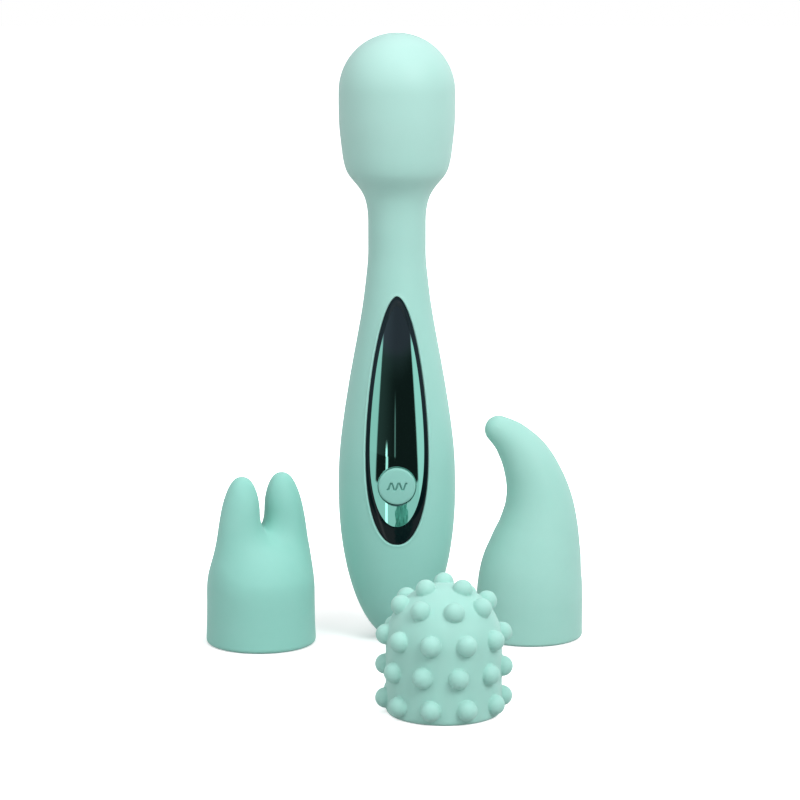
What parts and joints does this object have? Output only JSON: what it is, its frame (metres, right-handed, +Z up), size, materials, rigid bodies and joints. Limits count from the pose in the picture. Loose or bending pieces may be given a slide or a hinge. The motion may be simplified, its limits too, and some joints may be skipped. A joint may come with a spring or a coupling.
{
  "type": "handheld wand massager",
  "caption": "Cordless wand massager with a silicone-covered handle, flexible neck, round head and control panel, and three silicone sleeves that pull over its head.",
  "frame": {"origin": "centre of the wand's foot, at the mouth of the charging socket", "axes": "+Z up along the wand's axis, -Y towards the front with its control panel and button, +X to the right seen from the front"},
  "size_m": [0.1244, 0.1329, 0.2003],
  "materials": {
    "silicone_mint": "soft matte silicone",
    "inner_shell": "moulded ABS, hidden",
    "black_trim": "polished black",
    "mirror_panel": "green-tinted metallized mirror",
    "seal_silicone": "silicone seal",
    "circuit": "solder-masked board",
    "component_black": "moulded component body",
    "led": "clear lens",
    "steel": "zinc-plated steel",
    "cell_wrap": "heat-shrunk film",
    "lead_cover": "PVC insulation",
    "core_rubber": "moulded rubber",
    "magnet": "ferrite",
    "bronze": "sintered bronze",
    "weight_metal": "dense sintered metal"
  },
  "bodies": {
    "handle": {"handle_skin": "silicone_mint", "front_shell": "inner_shell", "rear_shell": "inner_shell", "shell_screws": "steel", "trim_bezel": "black_trim", "panel_gasket": "seal_silicone", "control_panel": "mirror_panel", "tact_switch": "component_black", "circuit_board": "circuit", "controller_chip": "component_black", "status_led": "led", "lead_connectors": "component_black", "board_screws": "steel", "chassis": "inner_shell", "chassis_screws": "steel", "battery_cell": "cell_wrap", "charge_socket": "component_black", "socket_seal": "seal_silicone", "charge_leads": "lead_cover", "battery_leads": "lead_cover", "motor_leads": "lead_cover"},
    "button": {"button_cap": "silicone_mint", "switch_plunger": "component_black", "button_seal": "seal_silicone"},
    "neck": {"neck_skin": "silicone_mint", "neck_core": "core_rubber"},
    "head": {"head_skin": "silicone_mint", "head_base": "inner_shell", "head_dome": "inner_shell", "motor_endbell": "component_black", "motor_can": "steel", "motor_bush": "bronze", "motor_magnets": "magnet", "motor_plate": "steel", "plate_screws": "steel", "motor_screws": "steel"},
    "rotor": {"motor_shaft": "steel", "armature": "steel", "eccentric_weight": "weight_metal"},
    "twin_tip": {"twin_tip_sleeve": "silicone_mint"},
    "curved_tip": {"curved_tip_sleeve": "silicone_mint"},
    "nubbed": {"nub_sleeve": "silicone_mint"}
  },
  "joints": [
    {"name": "button_press", "type": "slide", "parent": "handle", "child": "button", "axis": [0, 1, 0], "range_m": [0, 0.0005], "stiffness_N_per_m": 1500},
    {"name": "neck_pitch", "type": "hinge", "parent": "handle", "child": "neck", "pos_m": [0, 0, 0.127], "axis": [1, 0, 0], "range_deg": [-12, 12], "stiffness_Nm_per_rad": 1, "deforming": ["neck_core", "neck_skin", "motor_leads"]},
    {"name": "neck_roll", "type": "hinge", "parent": "neck", "child": "head", "pos_m": [0, 0, 0.139], "axis": [0, 1, 0], "range_deg": [-12, 12], "stiffness_Nm_per_rad": 1, "deforming": ["neck_core", "neck_skin", "motor_leads"]},
    {"name": "motor_spin", "type": "hinge", "parent": "head", "child": "rotor", "pos_m": [0, 0, 0.18], "axis": [0, 0, 1], "continuous": true},
    {"name": "twin_tip_lift", "type": "slide", "parent": "handle", "child": "twin_tip", "axis": [0, 0, 1], "range_m": [0, 0.21]},
    {"name": "curved_tip_lift", "type": "slide", "parent": "handle", "child": "curved_tip", "axis": [0, 0, 1], "range_m": [0, 0.21]},
    {"name": "nub_sleeve_lift", "type": "slide", "parent": "handle", "child": "nubbed", "axis": [0, 0, 1], "range_m": [0, 0.21]}
  ]
}
